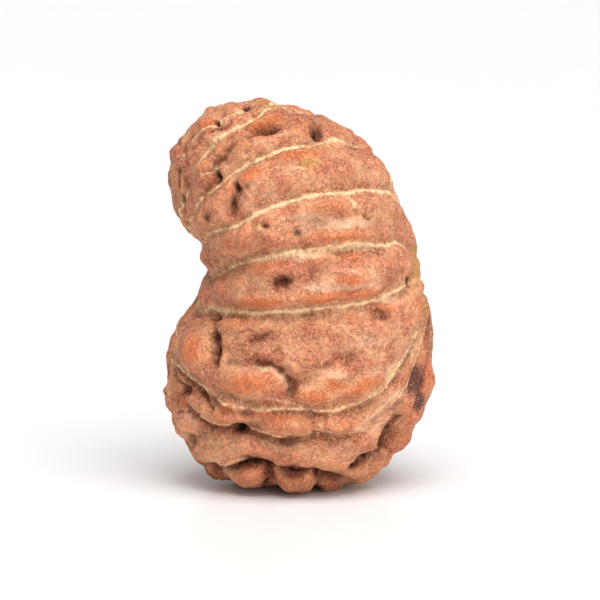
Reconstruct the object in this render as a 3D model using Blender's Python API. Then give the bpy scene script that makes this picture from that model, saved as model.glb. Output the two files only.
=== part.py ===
# Eighteen mukhi rudraksha bead, a single dried stone grown in one piece.
# The body is a bent, kidney-like swelling: a unit sphere is stretched to the outline that the
# bead has at each height. Eighteen seams run from its left end to its right end like meridians,
# and between two seams the wall swells like a pillow. Where it rests, the bead is worn flat.
# Metres, +Z up, the front is -Y, the origin is under the middle of the bead.

import math

import bmesh
import bpy
import numpy as np
from mathutils import Vector

NODE_NAME = "rudraksha_bead"
MM = 0.001

# Driving dimensions, in millimetres and degrees

LOWEST = -0.75
HIGHEST = 33.7

# Outline of the body from top to bottom: height, left side, right side, front, back
OUTLINE = (
    (33.0, -8.0, 0.9, -4.6, 4.0),
    (31.0, -10.3, 4.9, -7.4, 6.9),
    (28.5, -11.2, 7.7, -9.1, 8.9),
    (25.5, -11.3, 9.1, -10.1, 10.2),
    (22.8, -10.1, 9.9, -10.5, 10.7),
    (21.0, -8.4, 10.5, -10.6, 10.8),
    (18.5, -8.3, 11.1, -10.7, 10.9),
    (16.0, -8.9, 11.4, -10.8, 11.0),
    (13.0, -10.8, 11.6, -10.9, 11.0),
    (9.5, -11.5, 11.5, -10.8, 10.9),
    (6.0, -10.8, 10.8, -10.2, 10.2),
    (3.2, -9.5, 8.9, -8.8, 8.8),
    (1.2, -7.5, 6.7, -7.0, 6.8),
    (0.0, -5.4, 4.0, -4.6, 4.3),
)

# The two ends where all seams meet, as directions from the middle of the bead
LEFT_END = Vector((-0.86, 0.48, 0.20)).normalized()
RIGHT_END = Vector((0.995, 0.06, 0.06)).normalized()

# Where each seam crosses the waist between the ends, turned from the top over the front
SEAM_TURNS = (10, 20, 40, 58, 73, 89, 118, 126, 138, 172, 194, 216, 238, 260, 282, 304, 326, 348)

DEGREES_PER_STRIP = 4.4
FEWEST_STRIPS = 3
RINGS = 40
PILLOW_HEIGHT = 0.75
PILLOW_HEIGHT_PER_WIDTH = 0.17
PILLOW_POWER = 2.2
PILLOW_SUNK_SHARE = 0.6
WAIST_RADIUS = 13.0
END_DIMPLE = 0.5
END_DIMPLE_REACH = 0.10

# Large knobs and hollows on the wall: place of the middle, rise, reach
LOBES = (
    ((-3.2, -10.0, 9.2), 0.55, 2.8),
    ((3.2, -10.4, 9.8), 0.35, 2.2),
    ((-9.4, -3.6, 12.0), 0.45, 2.4),
    ((-4.8, -6.6, 1.8), 0.45, 2.2),
    ((0.0, -6.8, 0.8), 0.35, 2.0),
    ((-1.2, -9.4, 26.6), 0.35, 2.6),
    ((-6.4, -8.4, 25.8), -0.30, 1.8),
    ((-4.2, -1.0, 33.6), 0.35, 2.0),
    ((4.0, 9.6, 24.0), 0.45, 2.8),
    ((-4.5, 8.6, 27.0), 0.40, 2.6),
    ((3.0, 10.6, 9.0), 0.50, 3.0),
    ((-5.5, 9.6, 11.5), 0.45, 2.6),
    ((-1.0, 10.8, 17.0), -0.35, 2.6),
    ((8.0, 7.6, 15.0), 0.35, 2.4),
)

# Dried woody shell: colour, roughness and metallic
SHELL_COLOUR = (0.47, 0.24, 0.15, 1.0)
SHELL_ROUGHNESS = 0.62
SHELL_METALLIC = 0.0


def smooth_curve(knots, values, at):
    """Natural cubic spline through (knot, value) pairs, read at each point of the array at."""
    count = len(knots)
    step = np.diff(knots)
    slope = np.diff(values) / step
    system = np.eye(count)
    right = np.zeros(count)
    for i in range(1, count - 1):
        system[i, i - 1 : i + 2] = step[i - 1], 2 * (step[i - 1] + step[i]), step[i]
        right[i] = 6 * (slope[i] - slope[i - 1])
    bend = np.linalg.solve(system, right)
    i = np.clip(np.searchsorted(knots, at) - 1, 0, count - 2)
    before = at - knots[i]
    after = knots[i + 1] - at
    cubic = (bend[i] * after**3 + bend[i + 1] * before**3) / (6 * step[i])
    start = values[i] / step[i] - bend[i] * step[i] / 6
    end = values[i + 1] / step[i] - bend[i + 1] * step[i] / 6
    return cubic + start * after + end * before


class Body:
    """The smooth body: at each height share t of the unit sphere, an oval with its own
    middle and its own half width and half depth, all read from OUTLINE."""

    def __init__(self):
        height, left, right, front, back = np.array(OUTLINE[::-1]).T
        self.middle = (HIGHEST + LOWEST) / 2
        self.half = (HIGHEST - LOWEST) / 2
        self.knots = (height - self.middle) / self.half
        round_share = np.sqrt(1 - self.knots**2)
        self.middle_x = (left + right) / 2
        self.middle_y = (front + back) / 2
        self.half_x = (right - left) / 2 / round_share
        self.half_y = (back - front) / 2 / round_share

    def point(self, direction):
        """Where the direction on the unit sphere lands on the body, in millimetres."""
        at = np.clip(direction.z, self.knots[0], self.knots[-1])
        middle_x = smooth_curve(self.knots, self.middle_x, at)
        middle_y = smooth_curve(self.knots, self.middle_y, at)
        half_x = smooth_curve(self.knots, self.half_x, at)
        half_y = smooth_curve(self.knots, self.half_y, at)
        return Vector(
            (
                middle_x + half_x * direction.x,
                middle_y + half_y * direction.y,
                self.middle + self.half * direction.z,
            )
        )


def strips():
    """Every column of the bead's wall, from seam to seam round the waist. Each is its turn in
    radians, its share of the way from one seam to the next, and the turn between those seams.
    A wide segment has more strips than a narrow one."""
    columns = []
    for segment, start in enumerate(SEAM_TURNS):
        gap = (SEAM_TURNS[(segment + 1) % len(SEAM_TURNS)] - start) % 360
        count = max(FEWEST_STRIPS, round(gap / DEGREES_PER_STRIP))
        for strip in range(count):
            share = strip / count
            columns.append((math.radians(start + share * gap), share, math.radians(gap)))
    return columns


def meridian(turn, along):
    """Direction at the share along from the left end to the right end, on the smooth arc that
    crosses the waist at the given turn."""
    axis = (RIGHT_END - LEFT_END).normalized()
    top = (Vector((0, 0, 1)) - axis * axis.z).normalized()
    front = axis.cross(top)
    waist = top * math.cos(turn) + front * math.sin(turn)
    mixed = (
        LEFT_END * (1 - along) * (1 - 2 * along)
        + waist * 4 * along * (1 - along)
        + RIGHT_END * along * (2 * along - 1)
    )
    return mixed.normalized()


def pillow_rise(share, gap, along):
    """Height of the wall between two seams: a power arch over the segment, no higher than a
    share of its width, and partly sunk so that the seams lie in valleys."""
    width = gap * WAIST_RADIUS * math.sin(math.pi * along)
    height = min(PILLOW_HEIGHT, PILLOW_HEIGHT_PER_WIDTH * width)
    arch = 1 - abs(2 * share - 1) ** PILLOW_POWER
    return height * (arch - PILLOW_SUNK_SHARE)


def lobe_rise(point):
    """Sum of the round knobs and hollows at a point of the wall, each fading like a bell."""
    rise = 0.0
    for middle, lift, reach in LOBES:
        distance = (point - Vector(middle)).length
        rise += lift * math.exp(-((distance / reach) ** 2))
    return rise


def centre_over_origin(mesh):
    """Slides the bead level until the middle of its box is over the origin."""
    middle_x = (max(v.co.x for v in mesh.verts) + min(v.co.x for v in mesh.verts)) / 2
    middle_y = (max(v.co.y for v in mesh.verts) + min(v.co.y for v in mesh.verts)) / 2
    bmesh.ops.translate(mesh, vec=(-middle_x, -middle_y, 0.0), verts=mesh.verts)


def shape_bead(mesh, columns):
    """Moves every vertex of a sphere, whose poles become the two ends, on to the bead. The
    sphere's columns are counted from its +Y side."""
    body = Body()
    swelling = {}
    for vertex in mesh.verts:
        along = math.acos(max(-1.0, min(1.0, -vertex.co.z))) / math.pi
        column = round(math.atan2(-vertex.co.x, vertex.co.y) / math.tau * len(columns))
        turn, share, gap = columns[column % len(columns)]
        vertex.co = body.point(meridian(turn, along))
        nearest_end = min(along, 1 - along)
        dimple = END_DIMPLE * math.exp(-((nearest_end / END_DIMPLE_REACH) ** 2))
        swelling[vertex] = pillow_rise(share, gap, along) - dimple
    mesh.normal_update()
    for vertex in mesh.verts:
        swelling[vertex] += lobe_rise(vertex.co)
    for vertex in mesh.verts:
        vertex.co += vertex.normal * swelling[vertex]
        vertex.co.z = max(vertex.co.z, 0.0)
    centre_over_origin(mesh)
    bmesh.ops.scale(mesh, vec=(MM, MM, MM), verts=mesh.verts)


def shell_material():
    """Dry pink-brown wood of the stone."""
    material = bpy.data.materials.new("dry_shell")
    material.use_nodes = True
    surface = material.node_tree.nodes["Principled BSDF"]
    surface.inputs["Base Color"].default_value = SHELL_COLOUR
    surface.inputs["Roughness"].default_value = SHELL_ROUGHNESS
    surface.inputs["Metallic"].default_value = SHELL_METALLIC
    return material


def rudraksha_bead():
    """The whole bead, one closed solid."""
    columns = strips()
    mesh = bmesh.new()
    bmesh.ops.create_uvsphere(mesh, u_segments=len(columns), v_segments=RINGS, radius=1.0)
    shape_bead(mesh, columns)
    bmesh.ops.triangulate(mesh, faces=mesh.faces)
    data = bpy.data.meshes.new(NODE_NAME)
    mesh.to_mesh(data)
    mesh.free()
    data.shade_smooth()
    data.materials.append(shell_material())
    bead = bpy.data.objects.new(NODE_NAME, data)
    bpy.context.collection.objects.link(bead)
    return bead


for old in list(bpy.data.objects):
    bpy.data.objects.remove(old, do_unlink=True)
rudraksha_bead()
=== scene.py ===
import math

import bpy
import numpy as np
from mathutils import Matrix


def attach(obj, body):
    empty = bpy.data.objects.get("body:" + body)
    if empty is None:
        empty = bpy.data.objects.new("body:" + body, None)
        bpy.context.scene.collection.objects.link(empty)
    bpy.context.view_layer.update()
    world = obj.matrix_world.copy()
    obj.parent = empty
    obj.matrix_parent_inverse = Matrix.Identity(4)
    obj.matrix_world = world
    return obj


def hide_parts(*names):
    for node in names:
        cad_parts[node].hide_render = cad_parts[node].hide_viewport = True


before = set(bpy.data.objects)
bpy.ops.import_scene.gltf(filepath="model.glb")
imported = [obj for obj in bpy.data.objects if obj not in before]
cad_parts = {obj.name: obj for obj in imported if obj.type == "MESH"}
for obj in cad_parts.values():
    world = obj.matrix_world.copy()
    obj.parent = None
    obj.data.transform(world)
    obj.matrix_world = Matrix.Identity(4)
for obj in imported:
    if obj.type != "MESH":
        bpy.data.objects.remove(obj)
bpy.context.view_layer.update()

MM = 0.001
NODE = "rudraksha_bead"
PIECE = "rudraksha_bead_skin"

# The smooth body, in millimetres: the solid's outline, fitted more closely, and its two ends

LOWEST = -0.25
HIGHEST = 33.6

# Height, left side, right side, front, back
OUTLINE = (
    (33.0, -7.0, -0.4, -4.3, 3.7),
    (31.0, -9.6, 4.3, -7.1, 6.6),
    (28.5, -10.8, 7.2, -8.9, 8.7),
    (25.5, -10.9, 8.9, -10.0, 10.0),
    (22.8, -10.3, 9.6, -10.4, 10.6),
    (21.0, -8.4, 10.2, -10.5, 10.7),
    (18.5, -8.2, 11.1, -10.6, 10.8),
    (16.0, -8.8, 11.7, -10.5, 11.0),
    (13.0, -10.7, 11.9, -10.5, 11.0),
    (9.5, -11.3, 11.8, -10.4, 10.9),
    (6.0, -10.9, 10.7, -9.9, 10.2),
    (3.4, -9.5, 8.8, -9.0, 8.9),
    (2.0, -8.4, 7.6, -8.3, 8.1),
    (1.1, -7.2, 6.3, -6.4, 6.8),
    (0.35, -5.4, 4.2, -3.6, 4.6),
)

# The left and the right end, where all seams meet, as directions from the middle of the bead
ENDS = ((-0.86, 0.48, 0.2), (0.995, 0.06, 0.06))

# The camera: looking along +Y and a little down, at the middle of the bead

CAMERA_AIM = np.array((0.0, 0.0, 16.6))
CAMERA_DISTANCE = 380.0
CAMERA_DROP = math.radians(8.0)
PICTURE_PIXELS = 600
MM_PER_PIXEL = 0.0872
AIM_PIXEL = np.array((297.75, 295.2))
SENSOR_WIDTH = 36.0
NEAREST_SEEN = 0.01

LOOK = np.array((0.0, math.cos(CAMERA_DROP), -math.sin(CAMERA_DROP)))
RIGHT = np.array((1.0, 0.0, 0.0))
UP = np.array((0.0, math.sin(CAMERA_DROP), math.cos(CAMERA_DROP)))
EYE = CAMERA_AIM - CAMERA_DISTANCE * LOOK

# The seams seen from the front, from the top down. Each has the pixels it passes, left to
# right, its turn round the two ends in degrees at the left and at the right end, how bright
# its cream ridge is at the left, middle and right, and, in millimetres at the same three
# places, how deep its valley is, how far the wall above it stands out over the wall below it
# and how deep the groove under its lip is.
FRONT_SEAMS = (
    {
        "pixels": ((190, 231), (184, 200), (180, 176), (186, 152), (196, 140), (207, 134),
                   (219, 129)),
        "ends": (81, -62), "cream": (0.8, 0.9, 0.6), "valley": (0.25, 0.3, 0.3),
        "ledge": (0.2, 0.25, 0.2), "undercut": (0.3, 0.2, 0.1),
    },
    {
        "pixels": ((193, 173), (201, 159), (210, 149), (218, 139), (232, 129), (246, 124.5),
                   (262, 117.5), (282, 111)),
        "ends": (82, -46), "cream": (0.75, 0.9, 0.5), "valley": (0.35, 0.35, 0.3),
        "ledge": (0.0, 0.05, 0.0), "undercut": (0.2, 0.1, 0.0),
    },
    {
        "pixels": ((192, 220), (194, 210), (200, 200), (217, 187), (230, 174), (252, 162),
                   (270, 154), (286, 147.5), (310, 146), (333, 140.5), (349, 144), (366, 145)),
        "ends": (83.5, -24), "cream": (0.65, 0.95, 0.9), "valley": (0.4, 0.4, 0.35),
        "ledge": (0.0, 0.05, 0.0), "undercut": (0.1, 0.1, 0.0),
    },
    {
        "pixels": ((204, 243), (217, 232), (236, 226), (256, 216), (274, 206), (290, 202),
                   (320, 193.5), (350, 193), (380, 192), (402, 198)),
        "ends": (86, 5), "cream": (0.6, 1.15, 1.3), "valley": (0.45, 0.4, 0.35),
        "ledge": (0.0, 0.0, 0.0), "undercut": (0.1, 0.05, 0.0),
    },
    {
        "pixels": ((205, 271), (228, 267), (250, 261), (272, 257), (300, 251), (335, 248),
                   (370, 244.5), (387, 246), (405, 248)),
        "ends": (99, 57), "cream": (0.4, 0.85, 1.15), "valley": (0.45, 0.4, 0.4),
        "ledge": (0.0, 0.1, 0.1), "undercut": (0.1, 0.1, 0.1),
    },
    {
        "pixels": ((200, 305), (212, 306), (226, 311), (240, 312), (285, 312), (335, 307.5),
                   (365, 303.5), (385, 297), (409, 285)),
        "ends": (109, 80), "cream": (0.8, 0.9, 1.0), "valley": (0.5, 0.45, 0.4),
        "ledge": (0.1, 0.15, 0.1), "undercut": (0.15, 0.15, 0.1),
    },
    {
        "pixels": ((174, 345), (184, 364), (197, 378), (212, 391), (235, 404), (265, 408),
                   (300, 407), (330, 410), (360, 402), (381, 388), (397, 366), (410, 347),
                   (416, 327), (419, 300)),
        "ends": (120, 97), "cream": (0.8, 0.5, 0.5), "valley": (0.3, 0.25, 0.3),
        "ledge": (0.4, 0.35, 0.35), "undercut": (0.35, 0.3, 0.25),
    },
    {
        "pixels": ((184, 378), (186, 388), (193, 404), (206, 419), (222, 425), (237, 420),
                   (250, 427), (268, 432), (284, 436), (300, 435), (316, 428), (335, 433),
                   (355, 430), (375, 415), (397, 394), (408, 380)),
        "ends": (130, 113), "cream": (0.35, 0.35, 0.45), "valley": (0.3, 0.2, 0.2),
        "ledge": (0.4, 0.45, 0.12), "undercut": (0.5, 0.5, 0.08),
    },
    {
        "pixels": ((205, 458), (222, 461), (238, 459), (248, 455), (262, 457), (272, 463),
                   (284, 467), (298, 467), (314, 465), (330, 469), (346, 472), (360, 465),
                   (372, 454), (380, 441), (388, 429), (398, 420)),
        "ends": (143, 124), "cream": (0.2, 0.2, 0.35), "valley": (0.2, 0.2, 0.2),
        "ledge": (0.45, 0.5, 0.65), "undercut": (0.6, 0.95, 1.4),
    },
    {
        "pixels": ((374, 472), (386, 461), (395, 452)),
        "ends": (160, 142), "cream": (0.3, 0.3, 0.3), "valley": (0.3, 0.3, 0.3),
        "ledge": (0.2, 0.2, 0.2), "undercut": (0.3, 0.3, 0.3),
    },
)

# The looks that are read from the nearest seam alone, the latitudes of left, middle and right,
# and the latitude at which a seam starts and ends
SEAM_LOOKS = ("cream", "valley", "ledge")
LOOK_LATITUDES = (-0.6, 0.0, 0.6)
END_LATITUDE = 0.985

# The other seams, on the back: where they cross the waist between the ends, in degrees from
# the top over the front, as in the solid, the mean and the spread of their looks, how far
# they wander, in degrees, and at how many places
BACK_SEAM_TURNS = (194, 216, 238, 260, 282, 304, 326, 348)
BACK_SEAM_LOOKS = {
    "cream": (0.85, 0.2), "valley": (0.45, 0.1), "ledge": (0.12, 0.15), "undercut": (0.2, 0.15),
}
BACK_SEAM_WANDER = 1.8
BACK_SEAM_BENDS = 9
BACK_SEAM_STEPS = 60

# The shape of every seam, in millimetres: half widths of its valley, of its ridge and of the
# cream on it, the ridge's height, how far below it the wall steps in, over what width, and
# how far that step is felt, and how far below the step the groove lies and its half width
VALLEY_HALF = 0.75
RIDGE_HALF = 0.18
CREAM_HALF = 0.125
RIDGE_HEIGHT = 0.15
LIP = 0.28
LIP_ROUNDING = 0.22
LEDGE_FADE = 1.8
GROOVE_AWAY = 0.42
GROOVE_HALF = 0.42

# How far off the smooth body seams and knobs lie, and how far the whole skin is drawn in
SEAM_LIFT = -0.5
KNOB_LIFT = 0.1
SKIN_SUNK = 0.2

# The swelling between two seams, and the dimple at each end with its yellow fibres
PILLOW_HEIGHT = 0.62
PILLOW_HEIGHT_PER_WIDTH = 0.15
PILLOW_POWER = 2.6
PILLOW_SUNK_SHARE = 0.55
END_DIMPLE = 0.5
END_DIMPLE_REACH = 0.02
END_FIBRES = 0.8

# Knobs and hollows seen from the front: pixel, half width and half height in millimetres,
# tilt in degrees (positive turns the right side up), rise in millimetres
KNOBS = (
    # The big segment above the lip: the long knob with the crisp edge, its neighbours
    ((246, 385), 3.1, 1.25, -9, 1.15),
    ((300, 348), 2.3, 2.0, 10, 0.45),
    ((194, 352), 1.35, 2.1, -12, 0.8),
    ((322, 396), 2.0, 0.75, 6, 0.6),
    ((366, 386), 2.0, 0.8, 28, 0.6),
    ((338, 378), 1.2, 0.7, 0, 0.35),
    ((378, 345), 1.7, 1.7, 20, 0.35),
    ((240, 323), 2.1, 0.6, 0, 0.4),
    ((310, 325), 2.2, 0.55, -12, 0.25),
    ((349, 317), 1.5, 0.5, 5, 0.3),
    ((240, 355), 1.6, 1.0, 0, 0.25),
    # The segment above it
    ((259, 302), 2.4, 0.55, 0, 0.65),
    ((320, 299), 2.0, 0.4, 3, 0.5),
    ((362, 294), 1.5, 0.4, 10, 0.4),
    ((352, 281), 1.2, 0.65, 5, 0.48),
    ((262, 268), 2.2, 0.6, 6, 0.52),
    ((225, 285), 1.5, 1.1, 0, 0.4),
    ((320, 260), 2.4, 0.5, 2, 0.3),
    ((388, 266), 1.5, 1.0, 0, 0.28),
    # The next one up
    ((342, 239), 3.2, 0.6, 3, 0.62),
    ((276, 243), 1.2, 0.8, 10, 0.42),
    ((232, 245), 1.5, 0.9, 12, 0.35),
    ((262, 214), 1.3, 0.7, 20, 0.6),
    ((328, 207), 1.7, 0.7, 4, 0.72),
    ((302, 213), 1.3, 0.5, 12, 0.3),
    ((370, 203), 1.3, 0.7, 0, 0.35),
    ((392, 222), 1.1, 1.2, 0, 0.25),
    ((244, 232), 0.6, 1.0, -20, 0.55),
    # The wide one with the yellow patch
    ((297, 157), 2.0, 0.7, 6, 0.5),
    ((250, 174), 1.5, 0.75, 30, 0.5),
    ((340, 165), 2.6, 1.2, -8, 0.25),
    ((222, 197), 1.0, 1.0, 40, 0.5),
    ((278, 182), 1.8, 0.9, 15, 0.3),
    ((214, 213), 0.8, 1.0, 20, 0.4),
    ((380, 170), 1.0, 1.0, -30, 0.2),
    # The top ones
    ((245, 149), 1.3, 0.9, 35, 0.5),
    ((300, 126), 1.0, 1.2, 0, 0.45),
    ((262, 118), 1.6, 0.45, 16, 0.5),
    ((340, 130), 1.4, 0.8, -25, 0.3),
    ((270, 141), 1.2, 0.55, 10, 0.35),
    ((204, 172), 0.8, 1.1, 30, 0.45),
    ((219, 150), 0.7, 0.6, 40, 0.35),
    ((196, 190), 0.7, 1.3, 15, 0.4),
    ((205, 128), 1.3, 0.9, 28, 0.5),
    ((228, 116), 1.0, 0.45, 10, 0.4),
    ((190, 148), 0.7, 0.9, 30, 0.4),
    ((262, 105), 1.3, 0.5, -14, 0.55),
    ((303, 104), 1.4, 0.7, -20, -0.25),
    ((210, 111), 0.5, 0.4, 0, 0.4),
    ((219, 107), 0.9, 0.35, 12, 0.25),
    ((231, 106), 1.1, 0.35, 5, 0.35),
    ((282, 107), 0.4, 0.3, 0, 0.1),
    ((322, 113), 1.2, 0.5, -20, 0.25),
    ((176, 150), 0.6, 1.1, 0, 0.12),
    ((170, 190), 0.5, 1.5, 0, 0.2),
    # Under the lip, down to the ledge
    ((226, 411), 1.2, 1.1, -15, 0.95),
    ((268, 420), 1.8, 0.75, -12, 0.7),
    ((298, 424), 1.2, 0.9, 0, 0.65),
    ((345, 421), 1.5, 0.95, 12, 0.55),
    ((388, 393), 1.2, 0.6, 42, 0.4),
    ((205, 403), 0.5, 1.2, 25, 0.35),
    ((190, 424), 0.9, 1.0, 10, 0.55),
    ((177, 426), 0.8, 1.1, 20, 0.4),
    ((163, 397), 0.6, 0.5, 0, -0.2),
    ((182, 405), 0.7, 0.8, 0, 0.4),
    ((171, 368), 0.9, 1.4, 0, 0.35),
    ((246, 444), 1.1, 0.75, 0, 0.35),
    ((220, 443), 1.0, 1.0, 0, 0.4),
    ((290, 450), 1.6, 1.0, -5, 0.5),
    ((336, 455), 1.7, 1.1, 10, 0.5),
    ((365, 437), 1.2, 1.2, 40, 0.45),
    ((402, 404), 0.9, 1.0, 40, 0.35),
    ((203, 452), 1.1, 0.9, -20, 0.6),
    ((192, 455), 0.8, 0.9, 30, 0.4),
    ((263, 447), 0.5, 0.9, 20, 0.25),
    # Under the ledge
    ((241, 472), 2.3, 1.2, -10, 0.7),
    ((296, 482), 1.45, 1.0, 0, 1.15),
    ((330, 483), 1.05, 0.9, 0, 0.6),
    ((362, 475), 1.9, 0.75, 20, 0.6),
    ((213, 477), 1.0, 0.7, -35, 0.45),
    ((404, 441), 0.9, 1.3, -40, 0.55),
    ((389, 460), 0.7, 0.6, 30, 0.45),
    # Bulges of the left outline
    ((204, 258), 1.0, 1.0, 0, 0.45),
    ((199, 292), 0.8, 1.2, 0, 0.35),
    ((204, 304), 0.7, 0.4, 0, 0.3),
)

# Pits, holes and soft hollows: pixel, half width, half height, tilt, depth, darkness 0 to 1,
# which is painted shade in the hole, partly dark stain
PITS = (
    ((216, 178), 0.36, 0.6, 10, 0.85, 1.0),
    ((318, 131), 0.62, 0.62, -20, 0.85, 0.95),
    ((355, 148), 0.34, 0.15, 0, 0.45, 1.0),
    ((216, 122), 0.26, 0.22, 0, 0.5, 1.0),
    ((211, 130), 0.12, 0.1, 0, 0.25, 0.9),
    ((262, 128), 1.3, 0.4, 12, 0.6, 0.5),
    ((235, 185), 0.42, 0.5, 0, 0.35, 0.75),
    ((231, 205), 0.3, 0.5, 10, 0.3, 0.7),
    ((272, 126), 0.8, 0.3, 14, 0.45, 0.65),
    ((246, 187), 0.26, 0.3, 0, 0.25, 0.5),
    ((265, 226), 0.2, 0.18, 0, 0.4, 1.0),
    ((297, 233), 0.45, 0.4, 20, 0.45, 0.5),
    ((281, 282), 0.8, 0.5, 20, 0.6, 0.75),
    ((183, 389), 0.42, 0.5, 0, 0.6, 0.9),
    ((183, 377), 0.14, 0.14, 0, 0.3, 0.9),
    ((237.5, 430), 0.6, 0.6, 15, 0.95, 1.0),
    ((193, 441), 0.35, 0.55, 0, 0.35, 0.4),
    ((409.5, 282), 0.2, 0.42, 0, 0.7, 1.0),
    ((424, 296), 0.35, 0.6, 0, 0.4, 0.6),
    ((384, 315), 0.8, 0.5, -20, 0.4, 0.4),
    ((404, 220), 0.14, 0.14, 0, 0.3, 0.8),
    ((247, 108), 0.35, 0.16, 0, 0.4, 0.9),
    ((294, 470), 1.3, 0.3, -2, 0.6, 0.8),
    ((251, 460), 1.0, 0.3, -8, 0.5, 0.65),
    ((326, 475), 1.2, 0.4, -4, 0.55, 0.75),
    ((268, 473), 0.5, 1.1, 5, 0.7, 0.75),
    ((204, 216), 0.4, 0.6, 0, 0.35, 0.5),
    ((216, 471), 0.45, 0.8, 15, 0.45, 0.5),
    ((417, 378), 0.55, 1.1, -15, 0.3, 0.5),
    ((252, 427), 0.9, 0.3, -20, 0.35, 0.5),
    ((292, 440), 1.2, 0.3, 5, 0.35, 0.6),
    ((318, 478), 0.35, 0.8, 0, 0.45, 0.7),
    ((389, 431), 0.75, 0.34, 48, 0.35, 0.95),
    ((305, 275), 1.3, 0.7, 10, 0.25, 0.3),
    ((258, 338), 1.4, 0.4, 12, 0.25, 0.4),
    ((352, 360), 1.0, 0.4, 30, 0.25, 0.35),
    ((382, 221), 0.8, 0.8, 0, 0.3, 0.2),
    ((268, 132), 1.2, 0.25, 10, 0.15, 0.2),
)

# Creases: pixels along the line, half width in millimetres, depth, darkness, which is painted
# shade in the crease, partly dark stain
CREASES = (
    (((216, 317), (214.5, 335), (216, 350), (214, 364)), 0.42, 0.8, 0.75),
    (((256, 363), (268, 365), (279, 371), (288, 381), (291, 396)), 0.45, 0.75, 0.45),
    (((294, 386), (304, 381), (318, 374), (328, 366), (346, 357)), 0.75, 0.4, 0.28),
    (((225, 362), (238, 365), (250, 363)), 0.36, 0.3, 0.25),
    (((203, 390), (207, 402), (211, 412)), 0.3, 0.5, 0.55),
    (((177, 172), (178, 185), (182, 200), (185, 212), (189, 226)), 0.3, 0.4, 0.6),
    (((234, 180), (234, 192), (231, 214)), 0.48, 0.45, 0.45),
    (((228, 146), (221, 156), (211, 163), (203, 171)), 0.55, 0.65, 0.5),
    (((250, 133), (262, 128), (276, 124)), 0.4, 0.4, 0.4),
    (((242, 134), (250, 142), (246, 152)), 0.24, 0.28, 0.35),
    (((208, 184), (203, 196), (201, 208)), 0.26, 0.28, 0.35),
    (((264, 140), (264, 148), (261, 156)), 0.2, 0.22, 0.35),
    (((366, 216), (370, 219)), 0.18, 0.25, 0.7),
    (((345, 196), (352, 202), (356, 208), (362, 214)), 0.22, -0.22, 0.0),
    (((319, 412), (322, 428), (324, 446)), 0.2, -0.25, 0.0),
    (((311, 410), (313, 424), (314, 436)), 0.24, 0.3, 0.45),
    (((330, 432), (327, 446), (324, 462)), 0.26, 0.25, 0.3),
    (((238, 434), (256, 438), (266, 448), (276, 462)), 0.22, 0.3, 0.35),
    (((210, 428), (214, 440), (216, 456)), 0.26, 0.32, 0.45),
    (((263, 462), (266, 474), (266, 488)), 0.3, 0.6, 0.7),
    (((362, 250), (366, 262), (364, 270)), 0.22, 0.12, 0.2),
    (((400, 256), (402, 268), (404, 280)), 0.22, 0.2, 0.35),
    (((412, 250), (416, 264), (420, 278)), 0.14, 0.16, 0.35),
    (((418, 256), (422, 272), (425, 288)), 0.14, 0.16, 0.35),
    (((285, 226), (292, 231), (306, 229), (322, 224), (345, 222)), 0.5, 0.2, 0.0),
    (((213, 128), (228, 124), (240, 116)), 0.24, 0.28, 0.45),
    (((222, 103), (224, 112), (222, 120)), 0.22, 0.26, 0.4),
    (((245, 104), (247, 110), (252, 114)), 0.2, 0.35, 0.6),
    (((176, 140), (184, 150), (186, 164)), 0.24, 0.28, 0.45),
    (((398, 421), (391, 429), (384, 438), (377, 448), (366, 460), (354, 469)), 0.58, 1.0, 0.9),
    (((374, 412), (384, 404), (396, 392)), 0.22, 0.22, 0.35),
    (((186, 384), (180, 394), (176, 404)), 0.26, 0.4, 0.55),
    (((176, 414), (186, 412), (198, 414)), 0.26, 0.35, 0.45),
)

# Stains and patches on the skin: pixel, half width, half height, tilt, strength. The brown and
# pale ones also hold painted shade and painted light, as said at each
PURPLE_STAINS = (
    ((414, 381), 0.85, 1.6, -14, 1.0),
    ((418, 402), 0.6, 0.95, -8, 1.0),
    ((351, 264), 1.0, 0.28, 0, 0.35),
    ((407, 416), 0.6, 0.4, 20, 0.5),
)
ORANGE_PATCHES = (
    ((250, 386), 2.2, 0.9, 0, 1.0),
    ((190, 350), 0.9, 1.6, 0, 0.9),
    ((260, 302), 2.2, 0.42, 0, 1.0),
    ((317, 300), 1.6, 0.25, 0, 1.0),
    ((362, 294), 1.3, 0.25, 8, 0.8),
    ((335, 387), 0.9, 0.6, 0, 0.9),
    ((315, 397), 1.3, 0.45, 0, 0.95),
    ((365, 386), 1.9, 0.6, 22, 0.9),
    ((300, 154), 2.3, 0.45, 6, 1.0),
    ((250, 174), 1.2, 0.6, 25, 0.9),
    ((330, 207), 2.2, 0.5, 4, 0.7),
    ((268, 122), 2.2, 0.5, 14, 0.9),
    ((205, 127), 1.3, 0.8, 30, 0.8),
    ((340, 238), 3.6, 0.5, 2, 0.7),
    ((350, 257), 1.8, 0.25, 4, 0.7),
    ((225, 244), 1.6, 0.6, 10, 0.6),
    ((352, 281), 1.1, 0.5, 0, 0.9),
    ((345, 296), 3.2, 0.22, 5, 1.0),
    ((352, 318), 1.6, 0.4, 5, 0.6),
    ((318, 330), 1.8, 0.35, -10, 0.5),
    ((285, 215), 1.4, 0.35, 8, 0.6),
    ((250, 232), 0.5, 0.9, 0, 0.5),
    ((225, 410), 0.9, 0.7, 0, 0.7),
    ((275, 418), 2.4, 0.5, -8, 0.7),
    ((343, 424), 1.2, 0.6, 5, 0.6),
    ((404, 442), 0.8, 1.1, 30, 0.8),
    ((243, 470), 1.5, 0.6, 0, 0.3),
    ((183, 402), 0.6, 0.7, 0, 0.7),
    ((187, 428), 0.7, 0.7, 0, 0.6),
    ((204, 450), 0.9, 0.6, 0, 0.6),
    ((383, 308), 1.2, 0.45, 8, 0.9),
    ((428, 370), 0.6, 1.8, 0, 0.7),
    ((420, 310), 0.5, 1.6, 0, 0.6),
    ((300, 268), 3.2, 0.4, 2, 0.35),
    ((262, 267), 2.0, 0.35, 6, 0.75),
    ((240, 323), 2.0, 0.4, 0, 0.6),
)
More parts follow.
